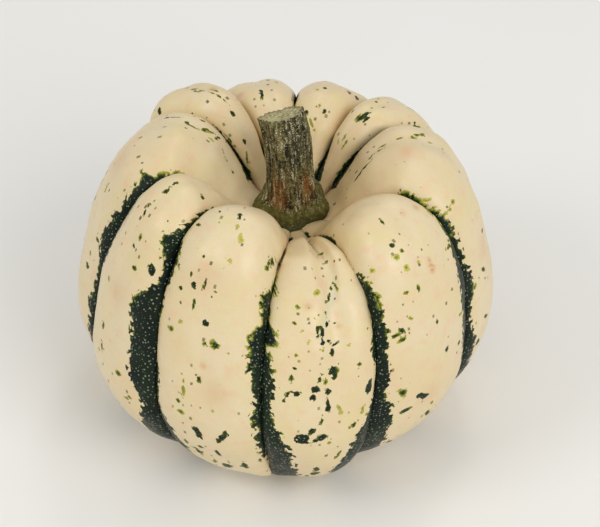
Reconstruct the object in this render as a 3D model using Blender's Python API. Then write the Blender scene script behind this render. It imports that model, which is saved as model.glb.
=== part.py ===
"""Acorn squash: a squat, deeply ribbed winter squash standing on its blossom end.

The fruit is one solid and its woody stem is a second one, seated in the hollow of the crown.
Metres, +Z up. The origin is the middle of the flat spot that the fruit stands on, and the
narrow double rib faces -Y. Driving dimensions below are in millimetres and degrees.
"""
import math

import bmesh
import bpy
import numpy as np

MM = 0.001

# The skin along the crest of an average rib, from the bottom of the crown hollow over the
# shoulder and down to the middle of the blossom end: radius, height, depth of the furrow beside
# it, and how many rows of faces reach to the next line.
SKIN_PROFILE = (
    (0.0, 69.0, 0.0, 1),
    (7.0, 69.3, 0.8, 1),
    (12.0, 71.0, 2.2, 2),
    (16.5, 77.0, 4.2, 3),
    (23.7, 87.0, 6.8, 3),
    (33.0, 92.5, 8.0, 4),
    (46.0, 88.0, 7.4, 4),
    (54.0, 74.5, 5.6, 3),
    (58.7, 55.0, 4.7, 3),
    (58.8, 33.0, 4.3, 3),
    (48.4, 12.0, 2.8, 3),
    (33.5, 2.6, 1.2, 3),
    (12.0, 0.0, 0.0, 1),
    (0.0, 0.0, 0.0, 0),
)

# The ten ribs, turning left to right round the fruit as seen from outside. The furrow on the
# left of each rib has an angle from the front, a lean from top to bottom and a bow, in degrees.
# Crown, girth and heel say how much the rib stands proud of the average one at its top, its
# widest and its lowest part, in mm. The crease runs down its upper half, at a share of its width
# and with a depth in mm.
RIBS = (
    dict(angle=-3.8, lean=0.0, bow=10.5, crown=-12.0, girth=1.0, heel=1.0,
         crease_at=0.63, crease=2.4),
    dict(angle=23.4, lean=-16.0, bow=-6.0, crown=-1.5, girth=-2.0, heel=-2.0,
         crease_at=0.50, crease=0.3),
    dict(angle=67.5, lean=-11.0, bow=3.0, crown=-1.0, girth=-0.5, heel=0.0,
         crease_at=0.63, crease=1.4),
    dict(angle=120.0, lean=-16.0, bow=7.5, crown=-4.0, girth=2.5, heel=0.0,
         crease_at=0.50, crease=0.5),
    dict(angle=149.0, lean=-1.0, bow=2.5, crown=-5.5, girth=-2.0, heel=-0.5,
         crease_at=0.45, crease=0.4),
    dict(angle=177.5, lean=-1.0, bow=0.0, crown=-5.5, girth=-2.5, heel=0.5,
         crease_at=0.50, crease=0.6),
    dict(angle=207.0, lean=9.5, bow=-9.5, crown=-1.0, girth=3.0, heel=0.0,
         crease_at=0.50, crease=0.5),
    dict(angle=234.5, lean=22.5, bow=-6.0, crown=-0.5, girth=2.5, heel=0.5,
         crease_at=0.37, crease=1.4),
    dict(angle=282.3, lean=5.0, bow=-9.0, crown=2.5, girth=2.5, heel=-1.5,
         crease_at=0.50, crease=0.4),
    dict(angle=317.5, lean=10.0, bow=-3.5, crown=3.5, girth=1.5, heel=-0.3,
         crease_at=0.50, crease=0.3),
)
# Where crown, girth and heel act along the profile, 0 at the stem and 1 at the blossom end, and
# how far that reaches.
CROWN_AT, CROWN_SPREAD = 0.28, 0.14
GIRTH_AT, GIRTH_SPREAD = 0.62, 0.17
HEEL_AT, HEEL_SPREAD = 0.80, 0.08
CREASE_FROM, CREASE_TO, CREASE_FADE = 0.08, 0.62, 0.18
CREASE_WIDTH = 0.11
LOBE_ROUNDNESS = 0.9
COLUMNS_PER_RIB = 12

# The stem, from its root in the flesh up to the cut: height and mean radius.
STEM_PROFILE = (
    (66.0, 9.6),
    (70.0, 10.5),
    (72.0, 10.5),
    (74.0, 9.3),
    (76.5, 7.9),
    (80.0, 7.0),
    (84.0, 6.7),
    (92.0, 6.7),
    (100.0, 6.5),
    (104.6, 6.2),
)
STEM_FOOT = (0.5, 1.1)
STEM_LEAN = (-2.9, 0.5)
STEM_BEND = 4
STEM_ANGLES = 5
STEM_ANGLE_RISE = 0.07
STEM_FOOT_RISE = 0.08
STEM_TURN = 25.0
STEM_CUT_SLOPE = 25.0
STEM_CUT_SIDE_SLOPE = 15.0
STEM_SIDES = 40
STEM_RINGS = 16
STEM_GAP = 0.3


def follow(stations, values, at):
    """A smooth curve through values at the stations, read at other places along it."""
    values = np.asarray(values, float)
    slopes = np.gradient(values, stations)
    span = np.clip(np.searchsorted(stations, at, side="right") - 1, 0, len(stations) - 2)
    width = stations[span + 1] - stations[span]
    t = (at - stations[span]) / width
    start = values[span] * (1 + 2 * t) * (1 - t) ** 2 + slopes[span] * width * t * (1 - t) ** 2
    end = values[span + 1] * t * t * (3 - 2 * t) - slopes[span + 1] * width * t * t * (1 - t)
    return start + end


def bell(at, middle, spread):
    """A smooth bump of height 1."""
    return np.exp(-((at - middle) / spread) ** 2)


def skin_points(turn, row):
    """The skin of the fruit, in mm, from turn (0 to 1 round it) and row (0 at the stem).

    A rib is a round lobe between two sharp furrows. Across it the skin stands off the furrow
    line by a sine to a power, along the normal of the crest profile, and the angle follows a
    cosine, so that points crowd towards the furrows. Girth and heel act along that normal too,
    and the crown straight up. The angle of each furrow leans and bows from top to bottom.
    """
    radius, height, depth, rows = np.array(SKIN_PROFILE).T
    steps = np.hypot(np.diff(radius), np.diff(height))
    stations = np.concatenate([[0.0], np.cumsum(steps)]) / steps.sum()
    row_of_station = np.concatenate([[0.0], np.cumsum(rows[:-1])])
    along = np.interp(row, row_of_station, stations)

    crest_radius = follow(stations, radius, along)
    crest_height = follow(stations, height, along)
    furrow_depth = np.maximum(follow(stations, depth, along), 0.0)
    ahead = np.minimum(along + 0.002, 1.0)
    behind = np.maximum(along - 0.002, 0.0)
    run = follow(stations, radius, ahead) - follow(stations, radius, behind)
    rise = follow(stations, height, ahead) - follow(stations, height, behind)
    length = np.hypot(run, rise)

    place = turn * len(RIBS)
    rib = np.floor(place + 1e-6).astype(int) % len(RIBS)
    share = (1 - np.cos(np.pi * np.clip(place - np.floor(place + 1e-6), 0, 1))) / 2
    lobe = (4 * share * (1 - share)) ** (LOBE_ROUNDNESS / 2)

    def of_rib(name, shift=0):
        return np.array([r[name] for r in RIBS])[(rib + shift) % len(RIBS)]

    def swell(shift):
        girth = of_rib("girth", shift) * bell(along, GIRTH_AT, GIRTH_SPREAD)
        return girth + of_rib("heel", shift) * bell(along, HEEL_AT, HEEL_SPREAD)

    def over_rib(crest, before, after, drop):
        furrow = (crest + before * (1 - share) + after * share) / 2 - drop
        return furrow + lobe * (crest - furrow)

    out = over_rib(swell(0), swell(-1), swell(1), furrow_depth)
    fade = np.clip((along - CREASE_FROM) / CREASE_FADE, 0, 1)
    fade = fade * np.clip((CREASE_TO - along) / CREASE_FADE, 0, 1)
    out = out - of_rib("crease") * fade * bell(share, of_rib("crease_at"), CREASE_WIDTH)
    lift = over_rib(of_rib("crown"), of_rib("crown", -1), of_rib("crown", 1), 0.0)
    lift = lift * bell(along, CROWN_AT, CROWN_SPREAD)

    def across(name):
        return of_rib(name) * (1 - share) + of_rib(name, 1) * share

    next_angle = of_rib("angle", 1) + 360.0 * (rib == len(RIBS) - 1)
    angle = of_rib("angle") * (1 - share) + next_angle * share
    angle = angle + across("lean") * (along - 0.5)
    angle = np.radians(angle + across("bow") * (4 * (along - 0.5) ** 2 - 0.4))

    ring = np.maximum(crest_radius - out * rise / length, 0.0)
    level = np.maximum(crest_height + out * run / length + lift, 0.0)
    return np.stack([ring * np.sin(angle), -ring * np.cos(angle), level], axis=-1)


def stem_points(turn, rise, gap):
    """The stem, in mm, from turn (0 to 1 round it) and rise (0 at the root, 1 at the cut).

    Its radius follows the stem profile, with five blunt angles that turn a little on the way up
    and spread into lobes at the foot. It bends aside towards the top, and the cut slopes up to
    the front and the right. A gap makes it fatter.
    """
    levels, radii = np.array(STEM_PROFILE).T
    level = levels[0] + rise * (levels[-1] - levels[0])
    foot = bell(level, STEM_PROFILE[2][0], 4.0)
    around = 2 * math.pi * turn
    wave = np.cos(STEM_ANGLES * (around + np.radians(STEM_TURN) * rise))
    radius = follow(levels, radii, level) * (1 + (STEM_ANGLE_RISE + STEM_FOOT_RISE * foot) * wave)
    radius = radius + gap
    east = radius * np.sin(around)
    north = -radius * np.cos(around)
    slant = math.tan(math.radians(STEM_CUT_SIDE_SLOPE)) * east
    slant = slant - math.tan(math.radians(STEM_CUT_SLOPE)) * north
    level = level + slant * np.clip(2 * rise - 1, 0, 1) - gap * (rise == 0) + gap * (rise == 1)
    x = STEM_FOOT[0] + STEM_LEAN[0] * rise ** STEM_BEND + east
    y = STEM_FOOT[1] + STEM_LEAN[1] * rise ** STEM_BEND + north
    return np.stack([x, y, level], axis=-1)


def place_vertices(mesh, points):
    """Move every vertex of the bmesh to its point, given in mm."""
    for vertex, point in zip(mesh.verts, points * MM):
        vertex.co = point


def new_object(name, mesh, collection):
    """An object from a bmesh, with normals out and smooth shading except at sharp bends."""
    bmesh.ops.recalc_face_normals(mesh, faces=mesh.faces)
    data = bpy.data.meshes.new(name)
    mesh.to_mesh(data)
    mesh.free()
    data.shade_smooth()
    data.set_sharp_from_angle(angle=math.radians(50.0))
    thing = bpy.data.objects.new(name, data)
    collection.objects.link(thing)
    return thing


def new_material(name, colour, roughness):
    """A plain matt or satin material for one piece."""
    material = bpy.data.materials.new(name)
    material.use_nodes = True
    shader = material.node_tree.nodes["Principled BSDF"]
    shader.inputs["Base Color"].default_value = (*colour, 1.0)
    shader.inputs["Roughness"].default_value = roughness
    shader.inputs["Metallic"].default_value = 0.0
    return material


def make_fruit(collection):
    """The ribbed fruit: a sphere whose columns fall on the furrows, moved on to the skin."""
    rows = sum(line[3] for line in SKIN_PROFILE)
    mesh = bmesh.new()
    bmesh.ops.create_uvsphere(
        mesh, u_segments=COLUMNS_PER_RIB * len(RIBS), v_segments=rows, radius=1.0)
    ball = np.array([vertex.co[:] for vertex in mesh.verts])
    turn = np.arctan2(ball[:, 1], ball[:, 0]) / (2 * math.pi) % 1.0
    columns = COLUMNS_PER_RIB * len(RIBS)
    turn = np.round(turn * columns) % columns / columns
    row = np.round(np.arccos(np.clip(ball[:, 2], -1, 1)) / math.pi * rows)
    place_vertices(mesh, skin_points(turn, row))
    return new_object("fruit", mesh, collection)


def make_stem(name, gap, collection):
    """The woody stem: a cylinder cut into rings and moved on to the stem's surface."""
    mesh = bmesh.new()
    bmesh.ops.create_cone(
        mesh, cap_ends=True, segments=STEM_SIDES, radius1=1.0, radius2=1.0, depth=2.0)
    sides = [edge for edge in mesh.edges if abs(edge.verts[0].co.z - edge.verts[1].co.z) > 1.0]
    bmesh.ops.subdivide_edges(mesh, edges=sides, cuts=STEM_RINGS - 1, use_grid_fill=True)
    tube = np.array([vertex.co[:] for vertex in mesh.verts])
    turn = np.arctan2(tube[:, 1], tube[:, 0]) / (2 * math.pi)
    rise = np.round((tube[:, 2] + 1.0) / 2.0 * STEM_RINGS) / STEM_RINGS
    place_vertices(mesh, stem_points(turn, rise, gap))
    return new_object(name, mesh, collection)


def seat_stem(fruit, collection):
    """Cut the stem's seat into the crown of the fruit, a hair wider than the stem itself."""
    cutter = make_stem("stem_seat_cutter", STEM_GAP, collection)
    cutter.hide_render = True
    cutter.display_type = "WIRE"
    seat = fruit.modifiers.new("stem seat", "BOOLEAN")
    seat.operation = "DIFFERENCE"
    seat.solver = "EXACT"
    seat.object = cutter


def main():
    for thing in list(bpy.data.objects):
        bpy.data.objects.remove(thing, do_unlink=True)
    squash = bpy.data.collections.new("acorn squash")
    cutters = bpy.data.collections.new("cutters")
    bpy.context.scene.collection.children.link(squash)
    bpy.context.scene.collection.children.link(cutters)

    fruit = make_fruit(squash)
    fruit.data.materials.append(new_material("squash rind", (0.80, 0.66, 0.42), 0.45))
    seat_stem(fruit, cutters)

    stem = make_stem("stem", 0.0, squash)
    stem.data.materials.append(new_material("woody stem", (0.16, 0.14, 0.08), 0.85))


main()
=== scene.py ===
"""The looks of the acorn squash: rind, markings and woody stem, on a pale floor in soft light.

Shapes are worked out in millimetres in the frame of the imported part, and put into their meshes
in metres.
"""
import math

import bpy
import numpy as np
from mathutils import Matrix


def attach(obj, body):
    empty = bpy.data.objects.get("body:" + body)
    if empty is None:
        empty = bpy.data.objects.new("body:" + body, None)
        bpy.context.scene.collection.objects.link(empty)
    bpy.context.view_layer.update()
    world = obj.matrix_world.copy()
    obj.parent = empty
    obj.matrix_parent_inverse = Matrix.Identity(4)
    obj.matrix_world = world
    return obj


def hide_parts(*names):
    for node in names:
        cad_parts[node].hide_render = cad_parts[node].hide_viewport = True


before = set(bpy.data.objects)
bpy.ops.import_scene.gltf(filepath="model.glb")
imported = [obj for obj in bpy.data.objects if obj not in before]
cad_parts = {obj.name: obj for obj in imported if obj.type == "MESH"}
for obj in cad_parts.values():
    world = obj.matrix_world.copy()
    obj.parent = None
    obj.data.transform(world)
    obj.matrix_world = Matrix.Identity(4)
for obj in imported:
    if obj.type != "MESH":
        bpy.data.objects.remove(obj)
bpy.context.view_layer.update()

# Fruit
# The real fruit is one swollen ovary: ten fused lobes round a core, pinched by sharp furrows,
# with a deep hollow where the stalk joined and a flat, corky scar where the flower fell off.
# It grew upright on its scar, and the narrow front lobe was squeezed between its neighbours.

MM = 0.001

# The crest of an average rib from the crown hollow over the shoulder to the blossom end:
# radius, height, depth of the furrow beside it.
CREST = np.array((
    (0.0, 69.0, 0.0), (7.0, 69.3, 0.8), (12.0, 71.0, 2.2), (16.5, 77.0, 4.2), (23.7, 87.0, 6.8),
    (33.0, 92.5, 8.0), (46.0, 88.0, 7.4), (54.0, 74.5, 5.6), (58.7, 55.0, 4.7), (58.8, 33.0, 4.3),
    (48.4, 12.0, 2.8), (33.5, 2.6, 1.2), (12.0, 0.0, 0.0), (0.0, 0.0, 0.0)))

# The ten ribs from the front one round to the right: angle, lean and bow of the furrow on the
# left of each in degrees, how far its crown, girth and heel stand proud in mm, and where on it
# the crease runs and how deep.
RIBS = np.array((
    (-3.8, 0.0, 10.5, -12.0, 1.0, 1.0, 0.63, 2.4),
    (23.4, -16.0, -6.0, -1.5, -2.0, -2.0, 0.50, 0.3),
    (67.5, -11.0, 3.0, -1.0, -0.5, 0.0, 0.63, 1.4),
    (120.0, -16.0, 7.5, -4.0, 2.5, 0.0, 0.50, 0.5),
    (149.0, -1.0, 2.5, -5.5, -2.0, -0.5, 0.45, 0.4),
    (177.5, -1.0, 0.0, -5.5, -2.5, 0.5, 0.50, 0.6),
    (207.0, 9.5, -9.5, -1.0, 3.0, 0.0, 0.50, 0.5),
    (234.5, 22.5, -6.0, -0.5, 2.5, 0.5, 0.30, 0.6),
    (282.3, 5.0, -9.0, 2.5, 2.5, -1.5, 0.50, 0.4),
    (317.5, 10.0, -3.5, 3.5, 1.5, -0.3, 0.50, 0.3)))
ANGLE, LEAN, BOW, CROWN, GIRTH, HEEL, CREASE_AT, CREASE = range(8)
RIB_COUNT = len(RIBS)
CREST_LENGTH = np.hypot(np.diff(CREST[:, 0]), np.diff(CREST[:, 1])).sum()
# At what share of the crest its crown, girth and heel stand out, and how far that spreads.
CROWN_AT, CROWN_SPREAD = 0.28, 0.14
GIRTH_AT, GIRTH_SPREAD = 0.62, 0.17
HEEL_AT, HEEL_SPREAD = 0.80, 0.08
# The power that rounds a lobe, the width of a crease as a share of its rib, and the part of the
# bow that is taken off again, so that a furrow keeps its place on the whole.
LOBE, CREASE_WIDTH, MEAN_BOW = 0.45, 0.11, 0.4

# The tight fold down the crown of the front rib: how far down (mm), at what share of the rib's
# width, how deep (mm), how wide as a share.
FOLD = np.array((
    (16, 0.58, 0.0, 0.09), (22, 0.59, 1.6, 0.09), (28, 0.60, 2.1, 0.09), (33, 0.62, 1.7, 0.08),
    (38, 0.65, 1.3, 0.065), (43, 0.68, 0.9, 0.055), (48, 0.69, 0.7, 0.05), (54, 0.66, 0.5, 0.05),
    (60, 0.58, 0.4, 0.05), (68, 0.50, 0.3, 0.05), (76, 0.50, 0.0, 0.05)))
# The furrows close up to a slit on the crown: depth, middle and reach down, width as a share.
SLIT_DEPTH, SLIT_AT, SLIT_REACH, SLIT_WIDTH = 1.3, 38.0, 17.0, 0.012
# The share of the crest beyond which the skin faces down. There, in mm: the depth, radius and
# reach of the pleats that the furrows end in, then the scar, then the stub in its middle.
UNDERNEATH = 0.7
PLEAT_DEPTH, PLEAT_AT, PLEAT_REACH = 0.9, 16.0, 9.0
SCAR_RADIUS, SCAR_DEPTH, SCAR_RIM = 4.8, 0.8, 1.2
STUB_HEIGHT, STUB_RADIUS = 0.5, 1.1


def follow(stations, values, at):
    """A smooth curve through values at the stations, as cubic pieces with shared slopes."""
    slopes = np.gradient(values, stations)
    span = np.clip(np.searchsorted(stations, at, side="right") - 1, 0, len(stations) - 2)
    width = stations[span + 1] - stations[span]
    t = (at - stations[span]) / width
    start = values[span] * (1 + 2 * t) * (1 - t) ** 2 + slopes[span] * width * t * (1 - t) ** 2
    end = values[span + 1] * t * t * (3 - 2 * t) - slopes[span + 1] * width * t * t * (1 - t)
    return start + end


def bell(at, middle, spread):
    """A smooth bump of height 1."""
    return np.exp(-((at - middle) / spread) ** 2)


def ramp(at, start, end):
    """A straight rise from 0 at the start to 1 at the end, which may lie below the start."""
    return np.clip((at - start) / (end - start), 0, 1)


def skin(rib, share, along):
    """A point of the skin from its rib, its share of the rib's width and its share of the way down.

    The point starts on the crest profile and moves along that profile's normal: down to the
    furrow line by the depth there, and back out by 4 * share * (1 - share) to a power, which
    makes a round lobe between two sharp furrows. The crease is a wide bell-shaped dip, the fold
    a narrow one whose place, depth and width follow smooth curves down the front rib, the slit a
    steep dip at the furrow, and the crown a lift straight up. The angle round the core blends the
    two furrows by share, and each furrow leans with the way down and bows with its square. Close
    to the blossom end the furrows run on as shallow pleats into a round scar that is sunk into
    the flat spot round a small stub.
    """
    radius, height, depth = CREST.T
    steps = np.hypot(np.diff(radius), np.diff(height))
    stations = np.concatenate([[0.0], np.cumsum(steps)]) / steps.sum()
    crest_radius = follow(stations, radius, along)
    crest_height = follow(stations, height, along)
    furrow_depth = np.maximum(follow(stations, depth, along), 0.0)
    near = 0.002
    ahead, behind = np.minimum(along + near, 1.0), np.maximum(along - near, 0.0)
    run = follow(stations, radius, ahead) - follow(stations, radius, behind)
    rise = follow(stations, height, ahead) - follow(stations, height, behind)
    length = np.hypot(run, rise)
    lobe = (4 * share * (1 - share)) ** LOBE

    def of_rib(column, shift=0):
        return RIBS[(rib + shift) % RIB_COUNT, column]

    def swell(shift):
        girth = of_rib(GIRTH, shift) * bell(along, GIRTH_AT, GIRTH_SPREAD)
        return girth + of_rib(HEEL, shift) * bell(along, HEEL_AT, HEEL_SPREAD)

    def over_rib(crest, before, after, drop):
        furrow = (crest + before * (1 - share) + after * share) / 2 - drop
        return furrow + lobe * (crest - furrow)

    out = over_rib(swell(0), swell(-1), swell(1), furrow_depth)
    fade = ramp(along, 0.08, 0.26) * ramp(along, 0.66, 0.44)
    out = out - of_rib(CREASE) * fade * bell(share, of_rib(CREASE_AT), CREASE_WIDTH)
    way = along * CREST_LENGTH
    on_fold = np.clip(way, FOLD[0, 0], FOLD[-1, 0])
    fold_at, fold_depth, fold_width = (follow(FOLD[:, 0], FOLD[:, i], on_fold) for i in (1, 2, 3))
    out = out - np.maximum(fold_depth, 0) * (rib == 0) * bell(share, fold_at, fold_width)
    slit = SLIT_DEPTH * bell(way, SLIT_AT, SLIT_REACH)
    out = out - slit * np.exp(-np.minimum(share, 1 - share) / SLIT_WIDTH)
    lift = over_rib(of_rib(CROWN), of_rib(CROWN, -1), of_rib(CROWN, 1), 0.0)
    lift = lift * bell(along, CROWN_AT, CROWN_SPREAD)

    angle = of_rib(ANGLE) * (1 - share)
    angle = angle + (of_rib(ANGLE, 1) + 360.0 * (rib == RIB_COUNT - 1)) * share
    angle = angle + (of_rib(LEAN) * (1 - share) + of_rib(LEAN, 1) * share) * (along - 0.5)
    bow = of_rib(BOW) * (1 - share) + of_rib(BOW, 1) * share
    angle = np.radians(angle + bow * (4 * (along - 0.5) ** 2 - MEAN_BOW))

    ring = np.maximum(crest_radius - out * rise / length, 0.0)
    level = np.maximum(crest_height + out * run / length + lift, 0.0)
    underneath = along > UNDERNEATH
    pleat = PLEAT_DEPTH * (1 - lobe) * bell(ring, PLEAT_AT, PLEAT_REACH) * underneath
    scar = SCAR_DEPTH * ramp(ring, SCAR_RADIUS, SCAR_RADIUS - SCAR_RIM) * underneath
    stub = STUB_HEIGHT * bell(ring, 0.0, STUB_RADIUS) * underneath
    level = level + pleat + scar - stub
    return np.stack([ring * np.sin(angle), -ring * np.cos(angle), level], axis=-1)


def swells(points, size, seed, waves=10):
    """Gentle random swells: plane waves of one length in mm, added up in random directions."""
    draw = np.random.default_rng(seed)
    heading = draw.normal(size=(waves, 3))
    heading /= np.linalg.norm(heading, axis=1, keepdims=True)
    phase = draw.uniform(0, 2 * np.pi, waves)
    turns = points @ heading.T * (2 * np.pi / size) + phase
    return np.sin(turns).sum(axis=-1) / math.sqrt(waves)


# Columns lie at equal distances on a typical section, so that none is wasted on the crests and
# the steep flanks stay smooth. Rows lie closer where the skin is seen from the side than in the
# hollow and underneath.
ACROSS_RIB = 44
RIB_WIDTH, RIB_HEIGHT = 42.0, 7.0
fine_share = np.linspace(0, 1, 4001)
section = RIB_HEIGHT * (4 * fine_share * (1 - fine_share)) ** LOBE
section = np.hypot(np.diff(fine_share) * RIB_WIDTH, np.diff(section))
section = np.concatenate([[0.0], np.cumsum(section)])
shares = np.interp(np.linspace(0, section[-1], ACROSS_RIB + 1), section, fine_share)
HOLLOW_ROWS, SIDE_ROWS, UNDER_ROWS = 28, 144, 48
SIDE_FROM, UNDER_FROM = 28, 134
rows_down = np.concatenate([
    np.linspace(0, SIDE_FROM, HOLLOW_ROWS, endpoint=False),
    np.linspace(SIDE_FROM, UNDER_FROM, SIDE_ROWS, endpoint=False),
    np.linspace(UNDER_FROM, CREST_LENGTH, UNDER_ROWS + 1)])
ROWS = len(rows_down) - 1
along, rib, share = np.meshgrid(
    rows_down / CREST_LENGTH, np.arange(RIB_COUNT), shares, indexing="ij")
rind = skin(rib, share, along)

# Distances on the skin in mm: across from the middle of the rib, to its two furrows, and down
# along the crest from the middle of the hollow.
steps_across = np.linalg.norm(np.diff(rind, axis=2), axis=-1)
from_left = np.insert(np.cumsum(steps_across, axis=2), 0, 0.0, axis=2)
to_right = from_left[:, :, -1:] - from_left
across = from_left - from_left[:, :, -1:] / 2
down = along * CREST_LENGTH

# Flats and swellings where a rib isn't the even lobe of the formula: rib, across, down, half
# width, half length and how far out, in mm. The last two fill the front furrow at its foot.
FLATS = (
    (6, 7.0, 66.0, 7.0, 8.0, 2.3), (2, 5.0, 79.0, 9.0, 12.0, -1.0), (4, -6.0, 60.0, 4.0, 6.0, -0.8),
    (0, 0.0, 42.0, 14.0, 12.0, -1.3), (8, -10.0, 62.0, 5.0, 15.0, -1.2),
    (9, 0.0, 34.0, 12.0, 12.0, 1.3), (9, 12.6, 138.0, 4.0, 7.0, 1.4), (0, -12.6, 138.0, 4.0, 7.0, 1.4))
shaped = np.zeros(along.shape)
for number, place, reach, wide, long, amount in FLATS:
    here = np.s_[:, number]
    shaped[here] += amount * bell(across[here], place, wide) * bell(down[here], reach, long)

# Growth leaves the skin slightly uneven, in swells of three sizes: height, size, draw. They fade
# out towards the flat spot.
unique = rind[:, :, :-1].reshape(ROWS + 1, -1, 3)
down_step = np.gradient(unique, axis=0)
side_step = (np.roll(unique, -1, axis=1) - np.roll(unique, 1, axis=1)) / 2
outward = np.cross(down_step, side_step)
outward /= np.maximum(np.linalg.norm(outward, axis=-1, keepdims=True), 1e-9)
uneven = sum(tall * swells(unique, size, draw) for tall, size, draw in (
    (0.28, 26.0, 3), (0.12, 11.0, 5), (0.04, 5.0, 8)))
uneven = uneven * ramp(unique[..., 2], 1.5, 9.5) + shaped[:, :, :-1].reshape(ROWS + 1, -1)
uneven[0], uneven[-1] = uneven[0].mean(), 0.0
skin_points = unique + outward * uneven[..., None]
skin_points[..., 2] = np.maximum(skin_points[..., 2], 0.0)

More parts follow.
